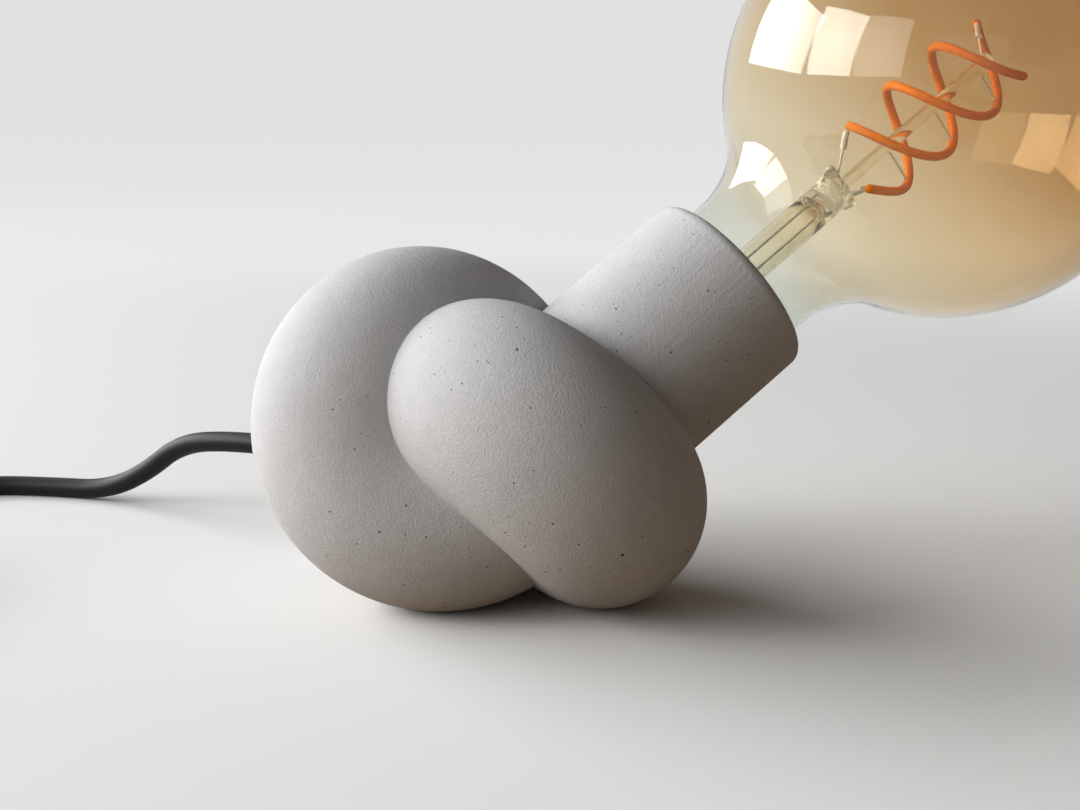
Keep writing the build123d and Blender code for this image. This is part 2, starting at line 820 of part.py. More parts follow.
def switch_screws():
    low = switch_sink - switch_head
    screw = rod(switch_screw_r, low, switch_sink + switch_screw_len) + rod(switch_head_r, low, switch_sink)
    slot = Pos(0, 0, low) * Box(3 * switch_head_r, switch_screw_r / 3, switch_head)
    return group(switch_place * copy for copy in at_screws(screw - slot))


def switch_rocker():
    """A shallow V of a rocker on its pin, at rest on its off side."""
    reach = rocker_l / 2
    corners = (
        (-reach, -rocker_belly),
        (reach, -rocker_belly),
        (reach, rocker_ear),
        (0, rocker_dip),
        (-reach, rocker_ear),
    )
    side_view = make_face(Polyline(*[(x, 0, z) for x, z in corners], close=True))
    block = extrude(side_view, rocker_w / 2, dir=(0, 1, 0), both=True)
    round_ends = Rot(90, 0, 0) * Cylinder(reach, rocker_w)
    pin = Rot(90, 0, 0) * Cylinder(rocker_pin_r, rocker_w + 2 * rocker_gap + 2 * lug_t - slip)
    return switch_place * Pos(0, 0, rocker_pivot) * Rot(0, rocker_tilt, 0) * ((block & round_ends) + pin)


def switch_contacts():
    strips = []
    for side in (-1, 1):
        plate = Box(contact_l, strip_w, strip_t, align=standing)
        post = Box(strip_t, strip_w, contact_h, align=standing)
        strips.append(switch_place * Pos(side * contact_x, 0, switch_wall) * (plate + post))
    return group(strips)


# Plug, made with its pins along X

plug_place = Pos(plug_rear) * Rot(0, 0, 90)


def at_pins(shape):
    """Turns a shape made along Z to point out of the plug's front, at each pin."""
    return [Pos(plug_l, side * pin_apart / 2, 0) * Rot(0, 90, 0) * shape for side in (-1, 1)]


def plug_body():
    corners = (
        (0, -plug_rear_w / 2),
        (plug_l - plug_front, -plug_w / 2),
        (plug_l, -plug_w / 2),
        (plug_l, plug_w / 2),
        (plug_l - plug_front, plug_w / 2),
        (0, plug_rear_w / 2),
    )
    block = extrude(make_face(Polyline(*corners, close=True)), plug_t / 2, both=True)
    block = fillet(block.edges().filter_by(Axis.Z), plug_round)
    block = fillet(block.edges().group_by(Axis.Z)[0] + block.edges().group_by(Axis.Z)[-1], plug_round)
    return plug_place * (block - at_pins(rod(pin_shank_r + seat_gap, -pin_sunk, 1)))


def plug_pins():
    pin = rod(pin_r, 0, pin_len) + rod(pin_shank_r, seat_gap - pin_sunk, 0)
    pin = fillet(pin.edges().filter_by(GeomType.CIRCLE).sort_by(Axis.Z)[-1], pin_tip_round)
    return group(plug_place * copy for copy in at_pins(pin))


def plug_relief():
    inside = cord_r + seat_gap
    outline = (
        (inside, -plug_relief_len),
        (cord_r + relief_skin, -plug_relief_len),
        (plug_relief_r, 0),
        (inside, 0),
    )
    return plug_place * Rot(0, 90, 0) * turned_shape(*outline)


makers = [
    concrete_body, strain_relief, inner_lead,
    holder_skirt, holder_dome, holder_grub_screw, holder_core, terminal_screws, conductors,
    holder_screw_shell, holder_centre_contact, holder_side_contact, holder_nipple,
    lock_nut, lock_washer, threaded_insert,
    bulb_globe, bulb_stem, led_filament, filament_end_clips, lead_wires, bulb_centre_rod,
    filament_supports, bulb_cap_shell, bulb_cap_insulator, bulb_centre_contact, bulb_driver_board,
    cord_to_switch, cord_to_coil, lead_coil, coil_ties, cord_to_plug,
    switch_base, switch_cover, switch_screws, switch_rocker, switch_contacts,
    plug_body, plug_pins, plug_relief,
]

os.makedirs("parts", exist_ok=True)
for maker in makers:
    export_step(maker(), f"parts/{maker.__name__}.step")
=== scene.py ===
import json
import math

import bmesh
import bpy
import numpy as np
from bpy.props import FloatProperty, FloatVectorProperty, IntProperty, PointerProperty
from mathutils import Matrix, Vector


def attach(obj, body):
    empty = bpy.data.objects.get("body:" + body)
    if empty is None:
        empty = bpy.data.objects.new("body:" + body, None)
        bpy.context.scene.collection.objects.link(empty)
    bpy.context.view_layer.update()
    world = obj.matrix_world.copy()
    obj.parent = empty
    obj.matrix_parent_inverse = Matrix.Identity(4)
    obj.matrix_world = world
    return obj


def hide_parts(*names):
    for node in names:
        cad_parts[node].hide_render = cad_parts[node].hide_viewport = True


bl_info = {
    "name": "Knotted concrete lamp",
    "version": (1, 0, 0),
    "blender": (4, 5, 0),
    "location": "View3D > Sidebar > Lamp",
    "description": "Finishes a lamp of knotted concrete tube with a globe bulb, a lead, a switch and a plug",
    "category": "Object",
}

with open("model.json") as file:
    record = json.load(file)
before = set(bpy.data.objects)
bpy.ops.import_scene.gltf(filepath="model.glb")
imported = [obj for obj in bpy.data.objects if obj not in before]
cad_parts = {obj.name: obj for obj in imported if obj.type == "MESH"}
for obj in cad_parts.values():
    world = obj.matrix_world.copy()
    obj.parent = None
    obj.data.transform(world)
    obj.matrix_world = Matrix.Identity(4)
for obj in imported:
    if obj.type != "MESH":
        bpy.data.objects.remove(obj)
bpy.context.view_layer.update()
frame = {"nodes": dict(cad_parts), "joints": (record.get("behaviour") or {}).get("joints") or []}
nodes = frame["nodes"]
joints = {joint["name"]: joint for joint in frame["joints"]}
MM = 0.001

# The bulb stands on the neck's mouth, along the neck's axis. Across points away from the viewer.
neck_axis = np.array(joints["bulb_turn"]["axis"])
mouth = np.array(joints["bulb_turn"]["pos_m"])
across = np.array((0.0, 1.0, 0.0))
upright = np.cross(neck_axis, across)
# The globe and the filament stand this far above the mouth.
bulb_up = 0.1 * MM


# Values

def linear(code):
    """A hex colour of sRGB as linear red, green and blue."""
    channels = [int(code[i:i + 2], 16) / 255 for i in (0, 2, 4)]
    return [c / 12.92 if c <= 0.04045 else ((c + 0.055) / 1.055) ** 2.4 for c in channels]


def per_m(size_mm):
    """The scale of a texture whose features are this many millimetres wide."""
    return 1 / (size_mm * MM)


def colour(name, about, code):
    """A colour that a user can change, given in hex."""
    return FloatVectorProperty(name=name, description=about, subtype="COLOR", size=3, min=0, max=1,
                               default=linear(code))


def length(name, about, size_mm):
    """A length that a user can change, given in millimetres."""
    return FloatProperty(name=name, description=about, subtype="DISTANCE", unit="LENGTH",
                         default=size_mm * MM)


class LampBody(bpy.types.PropertyGroup):
    """Cast concrete."""

    pale: colour("Pale", "Concrete where the paste is dry", "C4C4C5")
    dark: colour("Dark", "Concrete where the paste stayed damp", "B2B2B3")
    # The pore colour is painted shade: it stands for the shade inside an air pore.
    pore_shade: colour("Pores", "Inside an air pore", "3A3836")
    grit: length("Grit", "Width of a sand grain", 0.55)
    pore: length("Pore spacing", "Mean distance between air pores", 4.4)


class LampBulb(bpy.types.PropertyGroup):
    """Globe bulb, measured from the plane where its glass neck narrows towards the cap."""

    clear: colour("Clear", "Tint of the glass neck", "F2F6F0")
    amber: colour("Amber", "Tint of the globe's lower part", "FFF4DC")
    deep: colour("Deep amber", "Tint of the globe's upper part", "CAA674")
    coating: colour("Filament", "Coating of the filament", "E27C00")
    globe_r: length("Globe radius", "Outside of the globe", 62.5)
    globe_up: length("Globe height", "Centre of the globe", 82.0)
    wall: length("Wall", "Thickness of the glass", 0.9)
    neck_r: length("Glass neck radius", "Outside of the glass neck", 21.3)
    neck_up: length("Glass neck height", "Top of the straight glass neck", 6.0)
    coat_up: length("Coat height", "Where the tint changes to the pale amber", 48.0)
    deep_up: length("Deep height", "Where the tint of the upper part begins", 112.0)
    stem_up: length("Stem height", "Top of the stem's round tube", 35.4)
    press_up: length("Press height", "Top of the stem's flattened press", 42.4)
    helix_r: length("Spiral radius", "Middle of the filament's strands from the bulb's axis", 12.4)
    filament_r: length("Filament radius", "Outside of the filament's coating", 1.25)


class LampLead(bpy.types.PropertyGroup):
    """Round lead."""

    black: colour("Black", "Sheath of the lead", "0F0F10")
    cord_r: length("Radius", "Outside of the sheath", 3.25)
    coil_in_r: length("Coil inside", "Radius of the innermost turn", 24.0)
    coil_turns: IntProperty(name="Turns", description="Turns in each of the coil's two layers", default=3)


class LampStage(bpy.types.PropertyGroup):
    """Floor, light and camera."""

    floor: colour("Floor", "Plain pale floor, as it is seen", "E6E6E5")
    bounce: colour("Bounce", "Floor in the light that it throws back", "98826A")
    tone: FloatProperty(name="Tone", description="Brightness of the far floor and backdrop", default=0.73)
    paint_end: length("Lit paint", "How far from the lamp the floor is lit paint alone", 300)
    tone_start: length("Even tone", "How far from the lamp the even tone begins", 950)
    flat_r: length("Flat floor", "Radius of the floor where it begins to curve up", 1600)
    eye: FloatVectorProperty(name="Eye", description="Place of the camera", subtype="TRANSLATION",
                             unit="LENGTH", default=(-0.1405, -0.3687, 0.1331))
    lens: FloatProperty(name="Lens", description="Focal length on a 36 mm sensor", unit="CAMERA",
                        default=50.0)
    lean: FloatProperty(name="Lean", description="Camera's tilt from straight down", subtype="ANGLE",
                        default=math.radians(78.5))
    turn: FloatProperty(name="Turn", description="Camera's turn about the vertical", subtype="ANGLE",
                        default=math.radians(-19.0))


# Meshes

def grid_object(name, *grids):
    """Surfaces of quads over grids of points, whose rows close on themselves. Equal points merge."""
    points, quads = [], []
    for grid in grids:
        index = len(points) + np.arange(grid[..., 0].size).reshape(grid.shape[:2])
        index = np.concatenate([index, index[:, :1]], axis=1)
        corners = np.stack([index[:-1, :-1], index[:-1, 1:], index[1:, 1:], index[1:, :-1]], axis=-1)
        quads += corners.reshape(-1, 4).tolist()
        points += grid.reshape(-1, 3).tolist()
    mesh = bpy.data.meshes.new(name)
    mesh.from_pydata(points, [], quads)
    shape = bmesh.new()
    shape.from_mesh(mesh)
    bmesh.ops.remove_doubles(shape, verts=shape.verts, dist=1e-6)
    bmesh.ops.recalc_face_normals(shape, faces=shape.faces)
    shape.to_mesh(mesh)
    shape.free()
    mesh.polygons.foreach_set("use_smooth", [True] * len(mesh.polygons))
    made = bpy.data.objects.new(name, mesh)
    bpy.context.scene.collection.objects.link(made)
    return made


def merged_copy(node, name, crease):
    """A CAD node's surface with its loose triangles joined, smooth up to an angle."""
    shape = bmesh.new()
    shape.from_mesh(nodes[node].data)
    bmesh.ops.remove_doubles(shape, verts=shape.verts, dist=1e-6)
    mesh = bpy.data.meshes.new(name)
    shape.to_mesh(mesh)
    shape.free()
    mesh.polygons.foreach_set("use_smooth", [True] * len(mesh.polygons))
    mesh.set_sharp_from_angle(angle=crease)
    made = bpy.data.objects.new(name, mesh)
    bpy.context.scene.collection.objects.link(made)
    return made


def finish(piece, material, slot, body, *stands_for):
    """Gives a new piece its material and its body, and hides the nodes that it stands for. The slot is not
    used.
    """
    piece.data.materials.clear()
    piece.data.materials.append(material)
    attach(piece, body)
    if stands_for:
        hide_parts(*stands_for)
    return piece


def dress(material, *names):
    """Gives CAD nodes a material."""
    for name in names:
        nodes[name].data.materials.clear()
        nodes[name].data.materials.append(material)


def turned_round(profile, origin, along, side, segments):
    """Rings about an axis: a profile's (radius, height) is at origin + radius (cos, sin) + height along."""
    angle = np.linspace(0, 2 * np.pi, segments, endpoint=False)
    other = np.cross(along, side)
    ring = np.cos(angle)[:, None] * side + np.sin(angle)[:, None] * other
    radius, height = np.asarray(profile).T
    return origin + radius[:, None, None] * ring + (height[:, None] * along)[:, None, :]


def arc(centre, radius, start, end, steps):
    """Points of a circle's arc between two angles in degrees, in a plane of radius and height."""
    angle = np.radians(np.linspace(start, end, steps))
    return np.stack([centre[0] + radius * np.cos(angle), centre[1] + radius * np.sin(angle)], axis=1)


def tube_round(path, radii, up, sides):
    """Rings of a tube: at each point of a path, a circle across the path's own direction."""
    ahead = np.gradient(path, axis=0)
    ahead /= np.linalg.norm(ahead, axis=1, keepdims=True)
    side = np.cross(up, ahead)
    side /= np.linalg.norm(side, axis=1, keepdims=True)
    other = np.cross(ahead, side)
    angle = np.linspace(0, 2 * np.pi, sides, endpoint=False)
    ring = np.cos(angle)[:, None] * side[:, None, :] + np.sin(angle)[:, None] * other[:, None, :]
    return path[:, None, :] + radii[:, None, None] * ring


def on_bulb(points):
    """Points given across, upright and along the bulb's axis, in the part's frame."""
    return mouth + points @ np.stack([across, upright, neck_axis])


# Materials

def add_node(tree, kind, values=None, **settings):
    """Adds a node with its settings. Values fill its sockets, and an output socket is linked."""
    made = tree.nodes.new(kind)
    for name, setting in settings.items():
        setattr(made, name, setting)
    for name, value in (values or {}).items():
        if isinstance(value, bpy.types.NodeSocket):
            tree.links.new(value, made.inputs[name])
        else:
            made.inputs[name].default_value = value
    return made


def new_material(name):
    """A material with one Principled shader, and the object coordinates that its patterns read."""
    material = bpy.data.materials.new(name)
    material.use_nodes = True
    tree = material.node_tree
    place = add_node(tree, "ShaderNodeTexCoord").outputs["Object"]
    return material, tree, tree.nodes["Principled BSDF"], place


def grained(name, tone, roughness, grain_mm, metallic=0.0, streak=(1, 1, 1), relief_mm=0.01, shade=0.12,
            specular=0.5):
    """
    A plain finish with grain: noise over grains of one size, drawn out by streak, varies its colour, gloss
    and relief. The grains of smooth finishes are drawn coarser than the real ones, so that they show.
    """
    material, tree, shader, place = new_material(name)
    drawn = add_node(tree, "ShaderNodeMapping", {"Vector": place, "Scale": streak})
    grain = add_node(tree, "ShaderNodeTexNoise",
                     {"Vector": drawn.outputs[0], "Scale": per_m(grain_mm), "Detail": 3.0})
    dim = [c * (1 - shade) for c in tone] + [1]
    bright = [c * (1 + shade) for c in tone] + [1]
    mixed = add_node(tree, "ShaderNodeMix", {0: grain.outputs[0], 6: dim, 7: bright}, data_type="RGBA")
    uneven = 0.15
    gloss = add_node(tree, "ShaderNodeMapRange",
                     {"Value": grain.outputs[0], "To Min": roughness * (1 - uneven),
                      "To Max": roughness * (1 + uneven)})
    height = add_node(tree, "ShaderNodeMath", {0: grain.outputs[0], 1: relief_mm * MM}, operation="MULTIPLY")
    bump = add_node(tree, "ShaderNodeBump", {"Height": height.outputs[0], "Distance": 1.0})
    tree.links.new(mixed.outputs[2], shader.inputs["Base Color"])
    tree.links.new(gloss.outputs[0], shader.inputs["Roughness"])
    tree.links.new(bump.outputs[0], shader.inputs["Normal"])
    shader.inputs["Metallic"].default_value = metallic
    shader.inputs["Specular IOR Level"].default_value = specular
    return material


def cast_concrete(look):
    """
    Cast concrete, dry and matte: cloudy grey paste, mottled spots, fine sand that shows as grain, and air
    pores with painted shade in them, most of them on the front. The sand is drawn coarser than it is, so that
    it shows.
    """
    cloud_mm, mottle_mm = 38, 5
    sand_relief, mottle_relief, pore_depth = 0.16 * MM, 0.08 * MM, 0.4 * MM
    material, tree, shader, place = new_material("Cast concrete")
    cloud = add_node(tree, "ShaderNodeTexNoise", {"Vector": place, "Scale": per_m(cloud_mm), "Detail": 4.0})
    mottle = add_node(tree, "ShaderNodeTexNoise", {"Vector": place, "Scale": per_m(mottle_mm), "Detail": 4.0})
    sand = add_node(tree, "ShaderNodeTexNoise", {"Vector": place, "Scale": 1 / look.grit, "Detail": 2.0})
    dark, pale, pore_shade = list(look.dark) + [1], list(look.pale) + [1], list(look.pore_shade) + [1]
    paste = add_node(tree, "ShaderNodeMix", {0: cloud.outputs[0], 6: dark, 7: pale}, data_type="RGBA")
    spots = add_node(tree, "ShaderNodeMapRange", {"Value": mottle.outputs[0], "To Min": 0.93, "To Max": 1.07})
    grain = add_node(tree, "ShaderNodeMapRange", {"Value": sand.outputs[0], "To Min": 0.84, "To Max": 1.16})
    tone = add_node(tree, "ShaderNodeMath", {0: spots.outputs[0], 1: grain.outputs[0]}, operation="MULTIPLY")
    tinted = add_node(tree, "ShaderNodeVectorMath", {0: paste.outputs[2]}, operation="SCALE")
    tree.links.new(tone.outputs[0], tinted.inputs["Scale"])
    # Pores are balls about the points of a coarse and a fine cell pattern, and cells under a share have none.
    # Their radius is a share of the spacing, up to the widest, with a soft brink, and it shrinks to the back.
    back_y, front_y, back_share = 10 * MM, -15 * MM, 0.25
    widest, brink = 0.13, 0.04
    axes = add_node(tree, "ShaderNodeSeparateXYZ", {0: place})
    front = add_node(tree, "ShaderNodeMapRange",
                     {"Value": axes.outputs["Y"], "From Min": back_y, "From Max": front_y,
                      "To Min": back_share}, interpolation_type="SMOOTHSTEP")
    depths = []
    for spacing, empty in ((look.pore, 0.85), (look.pore / 2, 0.25)):
        cells = add_node(tree, "ShaderNodeTexVoronoi", {"Vector": place, "Scale": 1 / spacing})
        chance = add_node(tree, "ShaderNodeSeparateColor", {0: cells.outputs["Color"]})
        size = add_node(tree, "ShaderNodeMapRange",
                        {"Value": chance.outputs[0], "From Min": empty, "To Max": widest})
        size = add_node(tree, "ShaderNodeMath", {0: size.outputs[0], 1: front.outputs[0]},
                        operation="MULTIPLY")
        inside = add_node(tree, "ShaderNodeMath", {0: size.outputs[0], 1: cells.outputs["Distance"]},
                          operation="SUBTRACT")
        depths.append(add_node(tree, "ShaderNodeMapRange", {"Value": inside.outputs[0], "From Max": brink}))
    depth = add_node(tree, "ShaderNodeMath", {0: depths[0].outputs[0], 1: depths[1].outputs[0]},
                     operation="MAXIMUM")
    # Inside the pores the paste turns to the pore colour, which is painted shade. The bump below also sinks
    # them.
    surface = add_node(tree, "ShaderNodeMix", {0: depth.outputs[0], 6: tinted.outputs[0], 7: pore_shade},
                       data_type="RGBA")
    height = add_node(tree, "ShaderNodeMath", {0: sand.outputs[0], 1: sand_relief}, operation="MULTIPLY")
    height = add_node(tree, "ShaderNodeMath", {0: mottle.outputs[0], 1: mottle_relief, 2: height.outputs[0]},
                      operation="MULTIPLY_ADD")
    height = add_node(tree, "ShaderNodeMath", {0: depth.outputs[0], 1: -pore_depth, 2: height.outputs[0]},
                      operation="MULTIPLY_ADD")
    bump = add_node(tree, "ShaderNodeBump", {"Height": height.outputs[0], "Distance": 1.0})
    tree.links.new(surface.outputs[2], shader.inputs["Base Color"])
    tree.links.new(bump.outputs[0], shader.inputs["Normal"])
    shader.inputs["Roughness"].default_value = 0.9
    shader.inputs["Specular IOR Level"].default_value = 0.25
    return material


def blown_glass(look):
    """
    Blown glass with an amber coat: clear at the neck, warmer up the globe, with slight ripples in what it
    mirrors. Its mirror image of the light is a little dimmed.
    """
    ripple_mm, ripple_relief = 30, 0.15 * MM
    material, tree, shader, place = new_material("Amber blown glass")
    up = add_node(tree, "ShaderNodeVectorMath", {0: place, 1: neck_axis.tolist()}, operation="DOT_PRODUCT")
    low = float(mouth @ neck_axis)
    tip = look.globe_up + look.globe_r
    coat = add_node(tree, "ShaderNodeMapRange",
                    {"Value": up.outputs["Value"], "From Min": low, "From Max": low + tip})
    tint = add_node(tree, "ShaderNodeValToRGB", {0: coat.outputs[0]})
    stops = tint.color_ramp.elements
    stops[0].position, stops[0].color = look.neck_up / tip, list(look.clear) + [1]
    stops[1].position, stops[1].color = look.deep_up / tip, list(look.deep) + [1]
    stops.new(look.coat_up / tip).color = list(look.amber) + [1]
    ripple = add_node(tree, "ShaderNodeTexNoise", {"Vector": place, "Scale": per_m(ripple_mm), "Detail": 0.0})
    height = add_node(tree, "ShaderNodeMath", {0: ripple.outputs[0], 1: ripple_relief}, operation="MULTIPLY")
    bump = add_node(tree, "ShaderNodeBump", {"Height": height.outputs[0], "Distance": 1.0})
    tree.links.new(tint.outputs[0], shader.inputs["Base Color"])
    tree.links.new(bump.outputs[0], shader.inputs["Normal"])
    shader.inputs["Transmission Weight"].default_value = 1.0
    shader.inputs["Roughness"].default_value = 0.0
    shader.inputs["IOR"].default_value = 1.5
    shader.inputs["Specular Tint"].default_value = linear("CCCCCC") + [1]
    return material


def drawn_glass(look):
    """Drawn clear glass of the stem: it bends what is behind it, and is milky in streaks round its press."""
    streak_mm, fade = 2.2, 3 * MM
    # Streaks below the first of these shares are clear, and above the second they are milky.
    thin, milky = 0.4, 0.6
    material, tree, shader, place = new_material("Clear drawn glass")
    up = add_node(tree, "ShaderNodeVectorMath", {0: place, 1: neck_axis.tolist()}, operation="DOT_PRODUCT")
    low = float(mouth @ neck_axis)
    stem_top, press_top = low + look.stem_up, low + look.press_up
    press = add_node(tree, "ShaderNodeMapRange",
                     {"Value": up.outputs["Value"], "From Min": stem_top - fade, "From Max": stem_top},
                     interpolation_type="SMOOTHSTEP")
    above = add_node(tree, "ShaderNodeMapRange",
                     {"Value": up.outputs["Value"], "From Min": press_top + fade, "From Max": press_top},
                     interpolation_type="SMOOTHSTEP")
    streaks = add_node(tree, "ShaderNodeTexNoise",
                       {"Vector": place, "Scale": per_m(streak_mm), "Detail": 2.0})
    milk = add_node(tree, "ShaderNodeMath", {0: press.outputs[0], 1: above.outputs[0]}, operation="MULTIPLY")
    milk = add_node(tree, "ShaderNodeMath", {0: milk.outputs[0], 1: streaks.outputs[0]}, operation="MULTIPLY")
    gloss = add_node(tree, "ShaderNodeMapRange",
                     {"Value": milk.outputs[0], "From Min": thin, "From Max": milky, "To Max": 0.4})
    clear = add_node(tree, "ShaderNodeMapRange",
                     {"Value": milk.outputs[0], "From Min": thin, "From Max": milky, "To Min": 1.0,
                      "To Max": 0.3})
    tree.links.new(gloss.outputs[0], shader.inputs["Roughness"])
    tree.links.new(clear.outputs[0], shader.inputs["Transmission Weight"])
    shader.inputs["Base Color"].default_value = linear("FBF7EA") + [1]
    shader.inputs["IOR"].default_value = 1.5
    return material


def filament_coating(look):
    """Phosphor in silicone: deep orange, waxy and without much shine, with faint lumps."""
    lump_mm, lump_relief = 1.6, 0.1 * MM
    material, tree, shader, place = new_material("Phosphor silicone")
    lumps = add_node(tree, "ShaderNodeTexNoise", {"Vector": place, "Scale": per_m(lump_mm), "Detail": 2.0})
    dim = [c * 0.75 for c in look.coating] + [1]
    bright = [min(1, c * 1.2) for c in look.coating] + [1]
    mixed = add_node(tree, "ShaderNodeMix", {0: lumps.outputs[0], 6: dim, 7: bright}, data_type="RGBA")
    height = add_node(tree, "ShaderNodeMath", {0: lumps.outputs[0], 1: lump_relief}, operation="MULTIPLY")
    bump = add_node(tree, "ShaderNodeBump", {"Height": height.outputs[0], "Distance": 1.0})
    tree.links.new(mixed.outputs[2], shader.inputs["Base Color"])
    tree.links.new(bump.outputs[0], shader.inputs["Normal"])
    shader.inputs["Roughness"].default_value = 0.5
    shader.inputs["Specular IOR Level"].default_value = 0.15
    return material


# Pieces

class LAMP_OT_stage(bpy.types.Operator):
    """Camera, pale floor that curves up all round, and soft light"""

    bl_idname = "lamp.stage"
    bl_label = "Stage"
    # The lights stand this many metres from the point that they face, and fan out over this angle.
    aim, reach, fan = Vector((0.08, 0.0, 0.12)), 2.6, math.radians(90)

    def execute(self, context):
        look = context.scene.lamp_stage
        optics = bpy.data.cameras.new("camera")
        optics.lens = look.lens
        optics.sensor_width = 36.0
        optics.clip_start = 0.01
        camera = bpy.data.objects.new("camera", optics)
        camera.location = look.eye
        camera.rotation_euler = (look.lean, 0, look.turn)
        context.scene.collection.objects.link(camera)
        context.scene.camera = camera
        self.floor(look)
        self.soft_light("light_back_left", azimuth=138, rise=22, size=(2.1, 1.17), brightness=13.2)
        self.soft_light("light_left", azimuth=176, rise=23, size=(1.17, 1.3), brightness=12.6)
        self.soft_light("light_front_left", azimuth=203, rise=23, size=(1.17, 1.3), brightness=3.6)
        self.soft_light("light_front", azimuth=247, rise=20, size=(1.6, 0.8), brightness=0.38)
        self.world(context.scene)
        context.scene.view_settings.view_transform = "Standard"
        return {"FINISHED"}

    def floor(self, look):
        """
        A dish: flat to the bend's start, then a quarter of an ellipse, out and up, to its rim. What is seen
        of it goes from lit matte paint, without gloss, near the lamp to an even pale tone far away.
        """
        bend_out, bend_up, bend_steps, segments = 1.8, 2.2, 33, 96
        flat = np.array([(0.0, 0.0), (look.flat_r, 0.0)])
        bend = arc((0.0, 1.0), 1.0, -90, 0, bend_steps) * (bend_out, bend_up) + (look.flat_r, 0.0)
        outline = np.concatenate([flat, bend])
        x_axis, z_axis = np.array((1.0, 0.0, 0.0)), np.array((0.0, 0.0, 1.0))
        dish = grid_object("floor", turned_round(outline, np.zeros(3), z_axis, x_axis, segments))
        material, tree, shader, place = new_material("Matte floor paint")
        shown = self.shown(tree)
        away = add_node(tree, "ShaderNodeVectorMath", {0: place}, operation="LENGTH")
        far = add_node(tree, "ShaderNodeMapRange",
                       {"Value": away.outputs["Value"], "From Min": look.paint_end,
                        "From Max": look.tone_start}, interpolation_type="SMOOTHSTEP")
        pale, bounce, black = list(look.floor) + [1], list(look.bounce) + [1], (0, 0, 0, 1)
        seen = add_node(tree, "ShaderNodeMix", {0: far.outputs[0], 6: pale, 7: black}, data_type="RGBA")
        paint = add_node(tree, "ShaderNodeMix", {0: shown, 6: bounce, 7: seen.outputs[2]}, data_type="RGBA")
        glow = add_node(tree, "ShaderNodeMath", {0: far.outputs[0], 1: look.tone}, operation="MULTIPLY")
        glow = add_node(tree, "ShaderNodeMath", {0: glow.outputs[0], 1: shown}, operation="MULTIPLY")
        tree.links.new(paint.outputs[2], shader.inputs["Base Color"])
        tree.links.new(glow.outputs[0], shader.inputs["Emission Strength"])
        shader.inputs["Emission Color"].default_value = (1, 1, 1, 1)
        shader.inputs["Roughness"].default_value = 0.9
        dish.data.materials.append(material)

    def shown(self, tree):
        """One for rays that show the stage to the camera, in gloss or through glass, zero for the others."""
        rays = add_node(tree, "ShaderNodeLightPath").outputs
        seen = add_node(tree, "ShaderNodeMath", {0: rays["Is Camera Ray"], 1: rays["Is Glossy Ray"]},
                        operation="MAXIMUM")
        seen = add_node(tree, "ShaderNodeMath", {0: seen.outputs[0], 1: rays["Is Transmission Ray"]},
                        operation="MAXIMUM")
        return seen.outputs[0]

    def soft_light(self, name, azimuth, rise, size, brightness):
        """
        A broad light whose fan falls on the lamp and not on the backdrop. Its power is pi times its area
        times its brightness, times 1 - half / tan(half) for the half of the fan's angle.
        """
        away, over = math.radians(azimuth), math.radians(rise)
        towards = Vector((math.cos(away) * math.cos(over), math.sin(away) * math.cos(over), math.sin(over)))
        light = bpy.data.lights.new(name, "AREA")
        light.shape = "RECTANGLE"
        light.size, light.size_y = size
        light.spread = self.fan
        half = light.spread / 2
        light.energy = math.pi * size[0] * size[1] * brightness * (1 - half / math.tan(half))
        made = bpy.data.objects.new(name, light)
        made.location = self.aim + towards * self.reach
        made.rotation_euler = towards.to_track_quat("Z", "Y").to_euler()
        bpy.context.scene.collection.objects.link(made)

    def world(self, scene):
        """Plain sky that is paler to the camera, in gloss and through glass than it lights the lamp."""
        lit, seen = 0.04, 0.85
        scene.world = bpy.data.worlds.new("sky")
        scene.world.use_nodes = True
        tree = scene.world.node_tree
        power = add_node(tree, "ShaderNodeMapRange",
                         {"Value": self.shown(tree), "To Min": lit, "To Max": seen})
        sky = tree.nodes["Background"]
        sky.inputs["Color"].default_value = linear("F7F8FA") + [1]
        tree.links.new(power.outputs[0], sky.inputs["Strength"])


